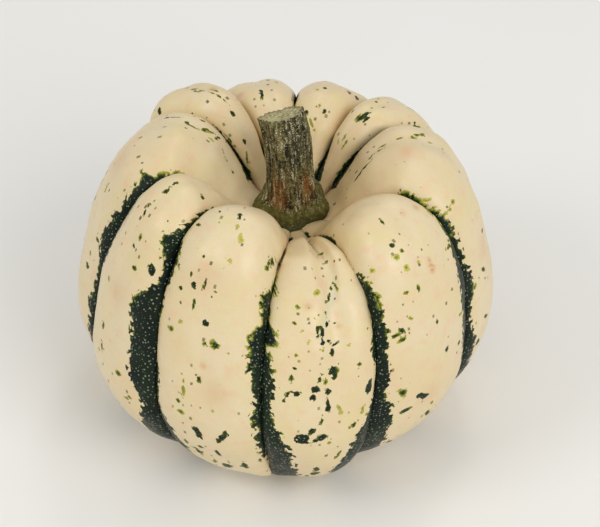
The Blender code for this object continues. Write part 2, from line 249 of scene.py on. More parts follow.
# Stripes. Each furrow carries a broken dark green band. Per furrow, in the order of the ribs:
# how far down (mm), its left and right edge off the furrow line (mm), and how lime its rim is.
# Where the left edge lies right of the right one there is no band.
GONE = (3.0, -3.0, 0.0)
STRIPES = (
    ((7, *GONE), (10, -1.2, 1.2, .1), (18, -1.2, .9, .1), (26, -.8, .5, .1), (34, *GONE), (45, *GONE),
     (50, -.6, .8, .8), (53, -1.6, 1.6, .8), (57, -2.7, 3, .8), (60, -3.2, 1.4, .6), (62, -4.2, 1.4, .6),
     (65, -6.9, 2, .7), (68, -5.2, 2.8, .7), (70, -4.3, 5.2, .9), (72, -3.8, 5.4, .9), (75, -7.2, 5, .9),
     (76.5, -7.2, 2.8, .7), (79, -7.5, 3.6, .8), (82, -5.7, 4.4, .5), (86, -5.6, 4.9, .4),
     (90, -4.2, 4.9, .2), (95, -3.4, 4.7, .1), (100, -3, 4.1, .2), (103, -4.8, 4.6, .6),
     (108, -2.9, 6.8, .3), (113, -3.1, 8.2, .1), (119, -2.2, 9, 0), (125, -.8, 8.8, 0), (131, -.5, 9.4, .1),
     (138, -1, 7.2, .2), (148, -1.5, 4, .3), (158, -1.2, 2.2, .4), (166, *GONE)),
    ((6, *GONE), (9, -.4, 1.2, .1), (14, -.6, 2.2, .1), (20, -.6, 2.9, .1), (26, -.6, 3, .1),
     (31, -.5, 2.7, .2), (37, *GONE), (47, *GONE), (51, .4, 2.2, .2), (56, -.2, 3.6, .3),
     (61, -.4, 4.6, .6), (66, -.5, 5.6, 1), (69, -.6, 4.8, .6), (73, -.8, 4.8, .3), (75.5, -1.8, 4.2, .3),
     (79, -3.4, 4.8, .3), (82, -3.7, 4.8, .5), (86, -2.6, 4, .1), (89, -1, 4.2, 0), (96, -.8, 4.7, 0),
     (100, -2.4, 4.5, .2), (104, -4.8, 4.6, .4), (109, -6.6, 6.8, .1), (114, -7.9, 7.6, .1),
     (120, -8.8, 7.8, 0), (128, -10.6, 8.2, 0), (134, -9.6, 8.6, .1), (142, -6.2, 6.2, .2),
     (152, -3.8, 3.6, .3), (162, -1.8, 2, .3), (169, *GONE)),
    ((34, *GONE), (38, -4, 3.2, .3), (41, -4.6, 4.4, .6), (47, -4.6, 4.6, .7), (53, -6, 4, 1),
     (59, -6.1, 4, 1), (64, -6.4, 4.4, .9), (69, -7.1, 3.8, .3), (78, -7.4, 3.1, .1), (84, -7.8, 4.7, .3),
     (90, -7.4, 5.2, .8), (96, -7.2, 2.6, .2), (103, -6, 3.2, .1), (109, -5.4, 5.6, .2), (116, -5.2, 6, 0),
     (124, -6, 5.8, 0), (134, -6.2, 4.8, .1), (144, -4.2, 3.6, .2), (154, -2.4, 2.4, .3), (163, *GONE)),
    ((10, *GONE), (16, -4.4, 1.4, .1), (20, -4.9, 2.8, .1), (25, -5.4, 3, .1), (32, -6, 2.1, .1),
     (40, -5.6, 1.4, .3), (48, -3.6, 2.4, .5), (56, -5.2, 3.8, .5), (66, -6.6, 3, .3), (78, -5, 5.4, .2),
     (90, -7, 4, .3), (102, -5.6, 6, .1), (116, -7, 4.6, 0), (130, -6.4, 5.4, .1), (142, -4, 4, .2),
     (152, -2.4, 2, .3), (160, *GONE)),
    ((11, *GONE), (15, -4.4, 2.2, .1), (19, -4.8, 2.8, .1), (24, -5, 1.9, .2), (31, -2.4, .8, .3),
     (36, *GONE), (48, *GONE), (54, -2.6, 1.8, .7), (62, -4.6, 3.2, .7), (72, -3.4, 4.8, .4),
     (84, -5.6, 3.6, .2), (96, -4.2, 5, .1), (110, -6, 4.6, .1), (124, -5.2, 5.6, 0), (138, -4.4, 3.8, .1),
     (149, -2.2, 2.4, .3), (158, *GONE)),
    ((36, *GONE), (41, -4.4, .8, .4), (48, -4.8, 2.8, .3), (55, -3.2, 3.2, .5), (64, -4.2, 2.4, .6),
     (74, -5.4, 3.8, .3), (86, -3.8, 5, .2), (98, -5.2, 4.2, .2), (112, -4.6, 5.8, 0), (126, -6, 4.8, .1),
     (139, -3.8, 4, .1), (150, -2.4, 2.2, .3), (159, *GONE)),
    ((10, *GONE), (14, -1.2, 1.6, .1), (28, -.9, 1.6, .2), (35, *GONE), (50, *GONE), (56, -2.4, 2.8, .8),
     (65, -4.4, 4.2, .6), (76, -3.4, 5.6, .3), (88, -5.6, 4.4, .2), (101, -4.4, 6.2, .1), (115, -6.2, 5, 0),
     (129, -5.4, 6, 0), (141, -4.4, 4, .2), (152, -2, 2.4, .3), (161, *GONE)),
    ((12, *GONE), (17, -2, 4.4, .2), (25, -3.2, 2.4, .2), (34, -3.4, -.6, .3), (39, *GONE), (60, *GONE),
     (64, -1.6, 2.2, .6), (68, -3.4, 3.6, .6), (75, -3.8, 5.4, .4), (86, -5.8, 4.6, .2),
     (99, -4.6, 6.4, .1), (114, -6.4, 5.2, 0), (128, -5.6, 6.2, 0), (141, -4.2, 4.4, .1),
     (153, -2.4, 2.4, .3), (162, *GONE)),
    ((12, *GONE), (16, -1.4, .6, .1), (26, -1, .4, .2), (30, *GONE), (33, *GONE), (37, -5.5, -3, .9),
     (40, -6, 0, .8), (44, -5, 2, .8), (48, -5.8, 3, .8), (50, -5, 4, .6), (52.5, -8.3, 5, .6),
     (55, -5.3, 6, .4), (58, -5.7, 6, .3), (62, -4.7, 6, .2), (67, -4.3, 6, .2), (70, -5.2, 6, .1),
     (75, -5.6, 5.6, .1), (80, -6.2, 5.2, .2), (83, -3.7, 4.8, .2), (90, -3, 3.8, .2), (96, -3.5, 3.4, .2),
     (100, -4.6, 3.6, .2), (105, -3.8, 3.8, .1), (118, -5.6, 6.6, 0), (130, -6.4, 6, 0),
     (142, -4.2, 4.4, .2), (154, -2.2, 2.6, .3), (163, *GONE)),
    ((12, *GONE), (16, -2.2, .4, .1), (22, -4.4, .4, .1), (28, -5.6, .4, .1), (33, -5.3, .4, .1),
     (41, -4.3, .5, .1), (49, -3.8, .8, .2), (55, -5, 1.6, .3), (58, -7.4, 5, .3), (63, -6.4, 6, .6),
     (67, -4, 5.6, .4), (72, -4.2, 2.6, .1), (75, -7, 2.6, .2), (78, -10.2, 3, .6), (83, -11, 2, .7),
     (87, -9.8, 1.6, .2), (94, -10, 1.6, 0), (101, -10.6, 3.4, 0), (105, -8.9, 3.2, .1),
     (108, -7.4, 2.8, .1), (113, -5.9, 5.2, 0), (118, -7.2, 7.4, 0), (125, -9.6, 9, 0), (132, -9, 7.6, .1),
     (142, -6.2, 5.4, .1), (152, -3.6, 3.2, .3), (161, *GONE)),
)


def stripe(furrow, off, reach):
    """How deep a point lies in the band of its furrow, in mm, and how lime the band is there.

    The depth is the smaller of the distances to the band's two edges, below zero outside.
    """
    at, left, right, lime = np.array(STRIPES[furrow % RIB_COUNT], float).T
    inside = np.minimum(off - np.interp(reach, at, left), np.interp(reach, at, right) - off)
    return inside, np.interp(reach, at, lime)


# Blotches. Each rib has its own scatter of angular flecks: across from its middle and down it,
# half width, half length (mm), slant (mm across per mm down), and kind, from 0 for green-black
# over olive to 1 and above for lime.
BLOTCHES = (
    ((2.6, 36, .3, .7, 0, .2), (2.9, 42.2, .3, .8, 0, .2), (5.2, 44.9, .6, .6, 0, .2),
     (-1.7, 46.4, .5, .5, 0, 1), (.5, 21.5, 1.8, .5, 0, .3), (-1.3, 54.1, 1.1, 1.1, 0, 1),
     (5.1, 53, .5, 1.8, .4, .5), (3.9, 52.2, .4, .8, .1, .3), (2.8, 55.5, .5, 3.4, -.3, 0),
     (1.5, 60.9, .45, 1.8, -.2, .1), (1.7, 65, .55, 1.4, -.2, 0), (-1.4, 66.6, .6, 2.4, -.1, 0),
     (.2, 67.6, .55, 3.4, -.1, 0), (-.3, 71.6, .8, 1.2, 0, 0), (-6.9, 58.5, .8, .9, 0, .7),
     (-7.6, 64, .7, .7, 0, .4), (-5.5, 66.1, .6, .8, 0, .9), (-4, 70.8, .5, 1, -.3, .8),
     (4.6, 65.5, .7, .6, 0, .2), (14, 72, .5, .9, -.4, .7), (2, 71.2, .6, .7, 0, .2),
     (-8.1, 76.4, .6, 1, 0, .6), (4.7, 73.5, 1, .9, -.5, .1), (2.6, 76.8, .9, 2, 0, 0),
     (.7, 88, .6, 2, 0, .6), (-.2, 74.6, .6, 1, 0, .7), (8, 75.2, .6, .8, 0, 1),
     (-8.4, 81.4, .8, .9, 0, .3), (-8.9, 85.8, .8, 1.9, 0, .4), (10.8, 83.9, .7, 1, .3, .4),
     (2.6, 84.5, 1.2, 1.9, 0, 0), (3.3, 87.2, .8, 1.6, 0, .1), (4.7, 85.6, .6, 1.3, 0, .6),
     (-1.4, 86.4, .6, 2, -.2, .1), (-2.4, 90.6, 1.4, 1.5, 0, 0), (-3.2, 93.5, .9, 1.5, 0, .1),
     (-7.8, 91.8, 1.2, 1.1, 0, 0), (-10.3, 92, .7, 1.4, -.4, .1), (-11.1, 95.3, .6, .9, 0, .4),
     (1.7, 93.1, 1.1, 1.3, 0, .1), (1.2, 96.4, .6, 1.8, 0, .1), (1.9, 98.9, .9, 1.2, 0, 0),
     (4.8, 100.5, .8, 2.2, .2, 1), (14.1, 94.7, 1.2, 2.6, -.1, 0), (12.2, 101.8, .7, 1.6, -.2, .8),
     (-.6, 102.2, .6, 1.8, -.2, .2), (-3.1, 106, .9, 1.6, -.4, .1), (-6, 109.2, 2.2, 2.2, 0, 0),
     (-2, 109.7, .9, 1.4, -.4, .2), (-.3, 109.3, 1.7, 1.2, 0, 0), (2, 111.7, .8, .7, 0, .8),
     (9.1, 106.8, .7, 1.1, 0, .4), (5.2, 119, .8, 2, -.4, .4), (-.7, 126.6, .9, 2, 0, .1),
     (-.2, 131, 1.3, 1.6, 0, .1)),
    ((-2, 47.6, .6, 1.3, -.2, .3), (-4.8, 54.5, .9, .7, 0, .3), (-6.2, 58.2, 1, 1.3, 0, .8),
     (-3.5, 57.2, .6, 1, -.2, .5), (-5.2, 62.8, .9, 1.1, 0, 1), (-8.2, 69.5, 1, .7, 0, .5),
     (-4.2, 69.8, .9, 1.1, 0, .6), (-.8, 63, .6, .6, 0, 1), (13.2, 66.7, 1.5, .8, 0, .4),
     (-14, 57.6, .9, 1, 0, 1), (-8.7, 78, .8, .8, 0, .7), (8.2, 78.2, .8, .7, 0, .5),
     (-.2, 84, .8, 1.3, 0, .1), (-13.8, 81.4, 2, 1.1, .8, .5), (-12, 83.6, 1.8, 1, -.5, .6),
     (-11.7, 81, .8, 1.9, .3, .3), (-11.9, 103.8, 1.5, 2, .3, .6), (11, 89.2, 1, .9, 0, .5),
     (4.4, 96.7, .9, .9, 0, .2), (11, 99.2, 1, .9, 0, .3), (-4.5, 108.8, 1.5, 1.7, .9, 0),
     (.5, 121, 1.2, 1.5, .3, .3), (1.3, 115.5, .7, 1.1, .3, .5), (-7.8, 131, 1.1, 1.8, .4, .3),
     (-9.6, 112, 2.2, .9, 0, .2), (6, 127, .9, 1.4, 0, .2)),
    ((-1.2, 26.3, .4, 2, .1, 0), (-.6, 29.8, .45, 3, 0, .1), (.8, 31, .35, 2.4, .1, .2),
     (2.4, 34.7, .35, 2.2, .2, .2), (3.8, 36, .35, 1.8, .2, .5), (4.6, 41.9, .5, 1.6, .2, .3),
     (6.9, 48.3, .45, 2.6, .4, .3), (8.6, 50.4, .5, 1.3, .4, .2), (4.7, 46.8, .4, 1.6, .3, .6),
     (5.4, 52.3, .4, 1.2, 0, .6), (2.8, 56.2, .4, 2.6, -.1, .2), (2.3, 60.6, .45, 2.8, -.1, .1),
     (1.8, 66.4, .45, 2.8, -.1, .1), (1.6, 73, .4, 3, 0, .1), (-18.5, 52.8, 1, 1, 0, 1),
     (-15.8, 60.5, 1, .9, 0, 1), (-18, 61.2, .9, .8, 0, .9), (-15.6, 87.7, .8, 1.3, .5, .4),
     (-15.4, 104.4, 1, 1.1, .5, .4), (-19.2, 111.7, 1.3, 1.5, .4, .2), (-9, 78.6, .9, .8, 0, .2)),
    ((-1.8, 28.6, .4, 2.2, -.1, .4), (-.6, 30.4, .4, 1.8, -.1, .6), (.4, 28, .4, 1.2, 0, .5),
     (-3.1, 38.9, .35, 2.2, -.1, .1), (-2.2, 40.2, .4, 2.6, -.1, 0), (-1.2, 39.2, .4, 2.2, -.1, .1),
     (-.3, 38.2, .35, 1.4, 0, .4), (3.4, 39.6, .5, 1.3, -.1, .1), (-2.6, 47, .4, 1.2, -.1, .3),
     (.9, 48, .7, .6, 0, .2), (-3.6, 57.2, .5, .8, 0, .1), (-9.6, 55.8, .6, .7, 0, .2)),
    ((.1, 32, .5, 2, .5, .6), (2.4, 35.4, .8, .9, 0, .1), (-2.5, 36.9, .5, 1, 0, .3),
     (.4, 46.9, .6, .8, 0, .1), (1.8, 44.7, .6, .7, 0, 1), (-.6, 38.4, .5, .7, 0, .8),
     (-6.3, 51.5, .8, .7, 0, .1), (-9.5, 54, .9, 1.1, 0, .1), (2.4, 56, .8, 1.4, 0, .3)),
    ((2.4, 42.4, .5, 3.2, -.1, 0), (-7.9, 43.8, .5, 1.9, -.3, .1), (-2, 54, .6, 1.1, 0, .4),
     (6, 58.5, .9, 1.3, 0, .1)),
    ((2, 27.2, .5, 1, 0, 0), (3, 22.2, .35, 2.8, -.3, .3), (1.6, 36.1, .5, 1, 0, 0),
     (1.7, 43.4, .35, 3.4, .2, .3), (2.6, 48.6, .4, 1.7, 0, .2), (3.4, 50.8, .4, 1.4, 0, .3),
     (2.6, 52.4, .5, 1.2, .4, .1), (.6, 46.6, .35, 1.6, .2, .3), (7.4, 35, .35, 2.6, .4, .1),
     (5.8, 29.4, .4, 1.8, .2, .1), (9.7, 62.6, .8, .7, 0, .1), (10.4, 48.3, .5, .6, 0, .2)),
    ((-1.5, 22.2, .5, .9, -.3, .1), (-5.8, 18.5, .4, 3.3, -.4, .2), (-4, 27.7, .4, 1.5, -.6, .6),
     (-7.2, 32.2, .6, .9, 0, .1), (-4.8, 33.6, .45, 1.3, -.2, .9), (-6.2, 32.6, .4, 1, 0, .2),
     (-6.2, 36.7, .4, 1.8, .2, .5), (-7.6, 35.4, .4, 1.4, .1, .2), (-5.2, 40.6, .4, 2.4, 0, .3),
     (-6.2, 43, .35, 1.4, 0, .3), (-9.1, 48.8, .45, 3.8, -.3, .1), (-10.6, 39.1, .4, 1.3, .1, .2),
     (-11, 42.8, .35, 1.2, .1, .1), (15, 53.4, 2.4, .7, 0, .5), (18.8, 80.5, 1.6, .9, -.4, .1),
     (17.4, 91, 1.2, 1.1, 0, .1), (17.2, 86.7, .8, 1.3, -.3, .7), (8.7, 69, .8, .9, 0, .5),
     (5.4, 97, .8, 1.4, 0, .2)),
    ((.3, 46.3, .6, 1.1, 0, .1), (.9, 49.5, .7, .8, 0, .2), (-.2, 55.2, .9, .9, 0, .3),
     (.4, 57.3, .6, 1.6, 0, .2), (3.3, 63.5, .9, 1.2, 0, .5), (1.6, 66.8, .6, .7, 0, .1),
     (4.9, 71.2, 1.1, .7, 0, .3), (10.9, 69.5, 1.5, 1.5, 0, 0), (-5.3, 81, .8, .8, 0, .7),
     (5.8, 105.5, 1.2, .9, -.3, .5), (-4.5, 95.5, .7, 1.9, -.2, .3), (-3.3, 102, .8, 1.6, .3, .3),
     (-5.5, 104.8, .9, .8, 0, .7), (7.3, 113.3, 1.2, .8, -.6, .5), (9.1, 111.9, .8, .7, 0, .5),
     (6.6, 40, .6, 1, .2, .1), (8.6, 54.5, .5, .6, 0, .1)),
    ((-2, 39, .35, 1.6, .2, .4), (-1.6, 44.8, .6, 1.2, .3, 0), (-7.6, 45, .5, .7, .2, .2),
     (-.8, 48.6, .6, .8, 0, 1.2), (-12.8, 51, 1.3, .7, 0, .2), (1.2, 51.2, .8, 1.3, .5, 1.2),
     (1.7, 58.4, .6, 1, 0, 1.2), (-8.1, 64.8, .5, .8, 0, .1), (-6.3, 67, .8, .7, 0, .1),
     (-3.1, 65.6, .4, 1.8, -.2, .1), (.3, 67, .7, .4, 0, .3), (-.4, 68.5, .4, .4, 0, .3),
     (-10.3, 69.2, .7, .6, 0, .2), (-5.2, 72.4, .5, 1.8, 0, .2), (-9.3, 72.9, .6, .6, 0, .3),
     (-.8, 76, .9, .9, 0, .1), (-8, 78.4, .7, .9, -.4, .6), (-10.7, 81, 1, 1, -.3, .6),
     (.2, 81.5, .9, .7, 0, .5), (3.4, 80.8, 1.5, 1.3, 0, .6), (7.3, 82.4, .7, .7, 0, .9),
     (-.9, 93, .8, 1.2, .3, .3), (-5.3, 98, .7, 2.6, 0, .7), (-7.4, 102.2, .9, .9, 0, .4),
     (3, 102.3, .7, .7, 0, 1), (-6, 106.3, 1.2, .8, 0, .7), (-1.6, 111.9, 1.2, 2.6, .3, 0),
     (5.9, 111.3, 1.1, 3, -.5, 0), (-1.6, 119.6, 1.1, .9, -.3, .4), (-6.6, 119.7, .7, 1.3, 0, .5),
     (3.4, 120, .6, 2.1, .3, .1), (9.5, 125, .9, 2.4, 0, .2), (4.3, 127.6, 1.7, 1.5, 0, .2),
     (14.7, 123.8, .6, .9, 0, .3), (18.2, 42, .6, 2.4, .2, .4), (15.9, 48.6, .7, 1.6, -.6, .5),
     (14, 51.4, 1.6, 2.2, -.4, .4), (13, 54.6, 1.2, 1.6, -.3, .5), (-6, 58.6, .6, .6, 0, .3)),
)
# Small orange-brown scratches and wide soft blushes: rib, across, down, spread (mm), strength.
BLUSHES = (
    (1, 2.7, 64.6, .65, .9), (1, 2.5, 66.2, .75, 1), (1, 2.8, 67.9, .75, 1), (1, 3.5, 67.2, .5, .8),
    (1, 10.8, 50.6, 1, .7), (1, 5.2, 49.3, 1, .4), (2, -3.2, 43.4, 3, .4), (0, -4.1, 57.8, 1.2, .5),
    (9, .3, 88.4, 1, .6), (6, .2, 47.6, 1.2, .6), (5, 8.3, 48.8, 1.3, .5), (4, -6.4, 52, 1.2, .5),
    (0, 5.2, 67, 1, .5), (9, -4, 64, 3.6, .25), (1, -2, 110, 4, .25), (8, 0, 82, 4, .25),
    (2, -12, 82, 3.8, .25), (7, 4, 62, 4.2, .3), (9, 4.4, 96, 4.4, .25))


def scattered(rib_number):
    """More blotches of the same sort, from a fixed draw, below where the photo shows the rib."""
    draw = np.random.default_rng(40 + rib_number)
    first, last = (122, 122, 86, 58, 58, 58, 58, 68, 122, 122)[rib_number], 168
    count = int((last + 2 - first) * 0.26)
    line = draw.choice((-3.0, 0.5, 4.0), count)
    place = line + draw.normal(0, 2.8, count)
    reach = draw.uniform(first, last, count)
    size = 0.6 + 0.9 * draw.random(count) ** 2
    long = size * draw.uniform(0.8, 2.0, count)
    slant = draw.normal(0, 0.2, count)
    return tuple(zip(place, reach, size, long, slant, draw.choice((0, 0, .1, .3, .6, .9), count)))


# Per point: how deep it lies in a mark (mm, below zero outside), how lime that mark is, how
# ragged its edge is, and how strong a blush is there. The bands are less ragged on the crown, and
# the blotches less the smaller they are. A blotch is centred on the nearest point of the mesh,
# because a small one between two points would be lost. Its kind and its edge count a little
# way outside it too, where its raggedness may reach. The lime of a band is whole down to one depth
# inside its edge, in mm, and gone at another.
BLOTCH_DEPTH, BLOTCH_REACH = 1.15, 1.2
LIME_WHOLE, LIME_GONE = 1.32, 3.52
mark, lime, rag, blush = np.zeros((4, *along.shape))
for number in range(RIB_COUNT):
    here = np.s_[:, number]
    left_depth, left_lime = stripe(number, from_left[here], down[here])
    right_depth, right_lime = stripe(number + 1, -to_right[here], down[here])
    mark[here] = np.maximum(left_depth, right_depth)
    lime[here] = np.where(left_depth > right_depth, left_lime, right_lime)
    lime[here] *= ramp(mark[here], LIME_GONE, LIME_WHOLE)
    rag[here] = np.maximum(ramp(down[here], 36, 54), 0.3)
    for place, reach, wide, long, slant, kind in BLOTCHES[number] + scattered(number):
        nearest = np.argmin(np.hypot(across[here] - place, down[here] - reach))
        place, reach = across[here].flat[nearest], down[here].flat[nearest]
        sideways = (across[here] - place - slant * (down[here] - reach)) / wide
        small = min(wide, long)
        depth = (1 - np.hypot(sideways, (down[here] - reach) / long)) * small * BLOTCH_DEPTH
        over = depth > np.maximum(mark[here], -BLOTCH_REACH)
        lime[here] = np.where(over, kind, lime[here])
        rag[here] = np.where(over, np.clip(0.12 + 0.26 * small, 0.2, 0.6), rag[here])
        mark[here] = np.maximum(mark[here], depth)
    for number_of_rib, place, reach, size, strength in BLUSHES:
        if number_of_rib == number:
            spot = bell(np.hypot(across[here] - place, down[here] - reach), 0.0, size)
            blush[here] = np.maximum(blush[here], strength * spot)

# How thick the small flecks lie: a few all over, more beside the bands and along the middle of
# each rib.
middle = bell(across, 1.0, 5.5) * ramp(down, 24, 36) * ramp(down, 166, 152)
fleck = 0.13 * middle + 0.32 * bell(np.minimum(mark, 0), 0, 2.2) + 0.06
# Masks for painted shade in the furrows and the crown hollow: how close a point lies to a furrow,
# how deep in the crown hollow (whose painted shade is heavier on the right), how deep in a furrow
# there, and how deep in a slit.
to_furrow = np.minimum(from_left, to_right)
furrow_shade = np.exp(-to_furrow / 2.4) * ramp(down, 6, 16)
hollow_shade = ramp(down, 44, 14)
shaded = hollow_shade * furrow_shade
hollow_shade = hollow_shade * (0.55 + 0.45 * np.clip(rind[..., 0] / 16, -1, 1))
slit = np.exp(-to_furrow / 0.7) * bell(down, 36.0, 20.0)
# How far a point lies to the right of the line of the fold, in mm, how dark its painted shade is
# there, and where a pale seam runs on from it. How far a point lies inside the scar.
fold_at = follow(FOLD[:, 0], FOLD[:, 1], np.clip(down, FOLD[0, 0], FOLD[-1, 0]))
fold = np.where(rib == 0, (share - fold_at) * (from_left + to_right), 9.0)
fold_shade = ramp(down, 18, 24) * ramp(down, 42, 30)
seam = bell(fold, 0.0, 1.1) * bell(down, 60.0, 14.0)
scar = ramp(np.hypot(rind[..., 0], rind[..., 1]), SCAR_RADIUS + 0.6, SCAR_RADIUS - 0.4)
scar = scar * (along > UNDERNEATH)


UV_STEP = 200.0


def skin_mesh(name, points, corner_u=None, corner_v=None):
    """A closed mesh from a grid of points that runs round (columns) and down (rows).

    The first and last rows are single points. The UV map holds each face corner's place across
    and down its rib in mm, with UV_STEP from one rib to the next.
    """
    rows, columns = points.shape[0] - 1, points.shape[1]
    inner = points[1:-1].reshape(-1, 3)
    vertices = np.concatenate([points[:1, 0], inner, points[-1:, 0]]) * MM
    last = len(vertices) - 1

    def number(row, column):
        inside = 1 + (row - 1) * columns + column % columns
        return np.where(row == 0, 0, np.where(row == rows, last, inside))

    row, column = np.meshgrid(np.arange(rows), np.arange(columns), indexing="ij")
    row, column = row.ravel(), column.ravel()
    corners = np.stack([np.stack([row + below, column + beyond], axis=-1)
                        for below, beyond in ((0, 0), (1, 0), (1, 1), (0, 1))], axis=1)
    quads = number(corners[..., 0], corners[..., 1])
    keep = np.ones(quads.shape, bool)
    keep[row == 0, 3] = False
    keep[row == rows - 1, 2] = False
    mesh = bpy.data.meshes.new(name)
    counts = keep.sum(axis=1)
    mesh.vertices.add(len(vertices))
    mesh.vertices.foreach_set("co", vertices.astype(np.float32).ravel())
    mesh.loops.add(int(counts.sum()))
    mesh.loops.foreach_set("vertex_index", quads[keep].astype(np.int32))
    mesh.polygons.add(len(quads))
    mesh.polygons.foreach_set("loop_start", (np.cumsum(counts) - counts).astype(np.int32))
    mesh.update(calc_edges=True)
    mesh.validate()
    mesh.shade_smooth()
    if corner_u is not None:
        on_rib = (column // ACROSS_RIB)[:, None]
        place = (corners[..., 0], on_rib, corners[..., 1] - on_rib * ACROSS_RIB)
        u, v = corner_u[place] + UV_STEP * on_rib, corner_v[place]
        layer = mesh.uv_layers.new(name="rib_mm")
        layer.data.foreach_set("uv", np.stack([u, v], -1)[keep].astype(np.float32).ravel())
    return mesh


def add_values(mesh, name, values):
    """Store one number per vertex from a grid whose first and last rows are single points."""
    flat = np.concatenate([values[:1, 0], values[1:-1].ravel(), values[-1:, 0]])
    layer = mesh.attributes.new(name, "FLOAT", "POINT")
    layer.data.foreach_set("value", flat.astype(np.float32))


def new_object(name, data):
    """An object in the scene, at the origin, that holds a mesh, a lamp or a camera."""
    thing = bpy.data.objects.new(name, data)
    bpy.context.scene.collection.objects.link(thing)
    return thing


rind_mesh = skin_mesh("squash_rind", skin_points, across, down)
rind_values = dict(
    mark=mark, lime=lime, rag=rag, blush=blush, fleck=fleck, furrow_shade=furrow_shade, hollow_shade=hollow_shade,
    shaded=shaded, slit=slit, seam=seam, fold=fold, fold_shade=fold_shade, scar=scar)
for name, values in rind_values.items():
    add_values(rind_mesh, name, values[:, :, :-1].reshape(ROWS + 1, -1))
fruit = new_object("squash_rind", rind_mesh)


def linear(hex_colour):
    """An sRGB hex colour as linear red, green, blue and full alpha."""
    value = np.array([int(hex_colour[i:i + 2], 16) for i in (1, 3, 5)]) / 255
    light = np.where(value <= 0.04045, value / 12.92, ((value + 0.055) / 1.055) ** 2.4)
    return (*light.tolist(), 1.0)


def new_material(name):
    """An empty material with its shader: the node tree and the Principled node."""
    material = bpy.data.materials.new(name)
    material.use_nodes = True
    return material, material.node_tree, material.node_tree.nodes["Principled BSDF"]


def add(tree, kind, sockets, **settings):
    """Add a shader node, set its own settings, and fill its sockets with values or outputs."""
    node = tree.nodes.new("ShaderNode" + kind)
    for name, value in settings.items():
        setattr(node, name, value)
    for name, value in sockets.items():
        if isinstance(value, bpy.types.NodeSocket):
            tree.links.new(value, node.inputs[name])
        else:
            node.inputs[name].default_value = value
    return node


def lay_on(tree, field, colour, layers, inside=None):
    """Lay colours over one another, each by a field: field, from, to, strength, colour."""
    for name, low, high, strength, tint in layers:
        amount = add(tree, "MapRange", {
            "Value": field[name], "From Min": low, "From Max": high, "To Max": strength}).outputs[0]
        if inside is not None:
            amount = add(tree, "Math", {0: amount, 1: inside}, operation="MULTIPLY").outputs[0]
        colour = add(tree, "Mix", {0: amount, 6: colour, 7: linear(tint)}, data_type="RGBA").outputs[2]
    return colour


# Waxy squash rind: a thin hard skin, cream with faint yellow and pink clouds, a satin gloss that
# breaks up over fine pores, and green marks whose edges step from cell to cell.
material, tree, shader = new_material("waxy squash rind")
place = add(tree, "TexCoord", {}).outputs["Object"]
uv = add(tree, "UVMap", {}, uv_map="rib_mm").outputs["UV"]
field = {}

# Soft clouds in the skin: name, size in mm, detail.
for name, size, detail in (("broad cloud", 22.0, 2.0), ("cloud", 9.0, 3.0), ("small cloud", 3.6, 3.0),
                           ("edge cloud", 3.2, 2.0), ("ripple", 2.2, 3.0), ("lime cloud", 1.6, 2.0),
                           ("grain", 0.6, 2.0)):
    cloud = add(tree, "TexNoise", {"Vector": place, "Scale": 1.0 / (size * MM), "Detail": detail})
    field[name] = cloud.outputs["Fac"]
# The values that each point of the mesh carries.
for name in rind_values:
    field[name] = add(tree, "Attribute", {}, attribute_name=name).outputs["Fac"]
# Cells on the map of the ribs: name, size in mm, shape, how uneven, stretch down the rib, and a
# shift that keeps one set from lying on the next. Each cell has a distance and random shades.
for name, size, shape, chance, stretch, shift in (
        ("step", 1.35, "CHEBYCHEV", 0.8, 1.0, 0.0), ("small step", 0.55, "CHEBYCHEV", 0.8, 1.0, 7.0),
        ("fleck cell", 2.9, "CHEBYCHEV", 1.0, 0.75, 13.0), ("dot", 1.2, "EUCLIDEAN", 1.0, 1.0, 21.0),
        ("pore", 0.75, "EUCLIDEAN", 1.0, 1.0, 3.0)):
    moved = add(tree, "Mapping", {
        "Vector": uv, "Location": (shift, shift * 1.7, 0.0), "Scale": (1.0, stretch, 1.0)}).outputs[0]
    cell = add(tree, "TexVoronoi", {"Vector": moved, "Scale": 1.0 / size, "Randomness": chance},
               voronoi_dimensions="2D", distance=shape)
    shades = add(tree, "SeparateColor", {"Color": cell.outputs["Color"]})
    field[name + " distance"] = cell.outputs["Distance"]
    field[name], field[name + " shade"], field[name + " size"] = shades.outputs[:3]

# The line of the fold, painted shade in its crease, dark within 0.1 mm of it and gone at 0.4 mm.
line = add(tree, "Math", {0: field["fold"]}, operation="ABSOLUTE").outputs[0]
line = add(tree, "MapRange", {"Value": line, "From Min": 0.40, "From Max": 0.10}).outputs[0]
line = add(tree, "Math", {0: line, 1: field["fold_shade"]}, operation="MULTIPLY")
field["fold line"] = line.outputs[0]

# Skin colour in layers. Cream on the crests, yellower and pinker in clouds, a little darker in
# pores. Then painted shade: sandy beside the furrows, tan in the hollow, brown where a furrow runs
# down into it or closes to a slit. Then a pale seam along the fold, a brown line of painted shade in
# the fold's crease, and orange-brown blushes.
colour = lay_on(tree, field, linear("#E6D5AF"), (
    ("broad cloud", 0.35, 0.68, 1.0, "#E4CEA3"), ("cloud", 0.50, 0.72, 0.55, "#E2D398"),
    ("small cloud", 0.52, 0.72, 0.55, "#E8C29C"), ("ripple", 0.54, 0.70, 0.35, "#E0D096"),
    ("pore distance", 0.30, 0.05, 0.14, "#CDB988"), ("furrow_shade", 0.0, 1.0, 0.55, "#D8B878"),
    ("hollow_shade", 0.0, 1.0, 0.65, "#CBA970"), ("shaded", 0.15, 0.7, 0.65, "#8A5C28"),
    ("slit", 0.0, 0.6, 0.85, "#452B10"), ("seam", 0.0, 1.0, 0.5, "#CFD3B6"),
    ("fold line", 0.0, 1.0, 0.55, "#6A5228"), ("blush", 0.0, 1.0, 0.80, "#C97B48")))

